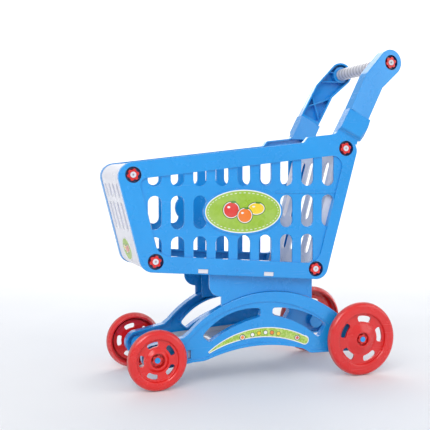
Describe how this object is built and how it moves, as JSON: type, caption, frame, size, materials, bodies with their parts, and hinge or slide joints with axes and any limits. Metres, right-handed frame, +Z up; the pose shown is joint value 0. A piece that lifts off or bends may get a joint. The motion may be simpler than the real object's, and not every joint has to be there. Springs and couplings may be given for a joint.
{
  "type": "toy shopping cart",
  "caption": "Toy plastic shopping cart: slotted basket on arched side frames with a lower tray, free-turning wheels and a raised push handle.",
  "frame": {"origin": "on the ground under the middle of the cart's overall box", "axes": "+X from the nose to the handle, +Y to the right hand of someone pushing it, +Z up"},
  "size_m": [0.4498, 0.198, 0.5098],
  "materials": {
    "blue_plastic": "smooth moulded",
    "white_plastic": "smooth moulded",
    "grey_plastic": "satin moulded",
    "red_plastic": "smooth moulded",
    "label_film": "printed film"
  },
  "bodies": {
    "chassis": {"left_side_panel": "blue_plastic", "right_side_panel": "blue_plastic", "left_handle_arm": "blue_plastic", "right_handle_arm": "blue_plastic", "saddle": "blue_plastic", "left_side_frame": "blue_plastic", "right_side_frame": "blue_plastic", "front_panel": "white_plastic", "rear_panel": "white_plastic", "basket_floor": "white_plastic", "handle_bar": "white_plastic", "lower_tray": "grey_plastic", "left_basket_nuts": "red_plastic", "right_basket_nuts": "red_plastic", "handle_nuts": "red_plastic", "left_front_wheel_nut": "red_plastic", "right_front_wheel_nut": "red_plastic", "left_rear_wheel_nut": "red_plastic", "right_rear_wheel_nut": "red_plastic", "left_side_badge": "label_film", "right_side_badge": "label_film", "left_crescent_label": "label_film", "right_crescent_label": "label_film", "front_label": "label_film"},
    "left_front_wheel_body": {"left_front_wheel": "red_plastic"},
    "right_front_wheel_body": {"right_front_wheel": "red_plastic"},
    "left_rear_wheel_body": {"left_rear_wheel": "red_plastic"},
    "right_rear_wheel_body": {"right_rear_wheel": "red_plastic"}
  },
  "joints": [
    {"name": "left_front_axle", "type": "hinge", "parent": "chassis", "child": "left_front_wheel_body", "pos_m": [-0.1694, -0.0752, 0.045], "axis": [0, 1, 0], "continuous": true},
    {"name": "right_front_axle", "type": "hinge", "parent": "chassis", "child": "right_front_wheel_body", "pos_m": [-0.1694, 0.0752, 0.045], "axis": [0, 1, 0], "continuous": true},
    {"name": "left_rear_axle", "type": "hinge", "parent": "chassis", "child": "left_rear_wheel_body", "pos_m": [0.1559, -0.0905, 0.0577], "axis": [0, 1, 0], "continuous": true},
    {"name": "right_rear_axle", "type": "hinge", "parent": "chassis", "child": "right_rear_wheel_body", "pos_m": [0.1559, 0.0905, 0.0577], "axis": [0, 1, 0], "continuous": true}
  ]
}
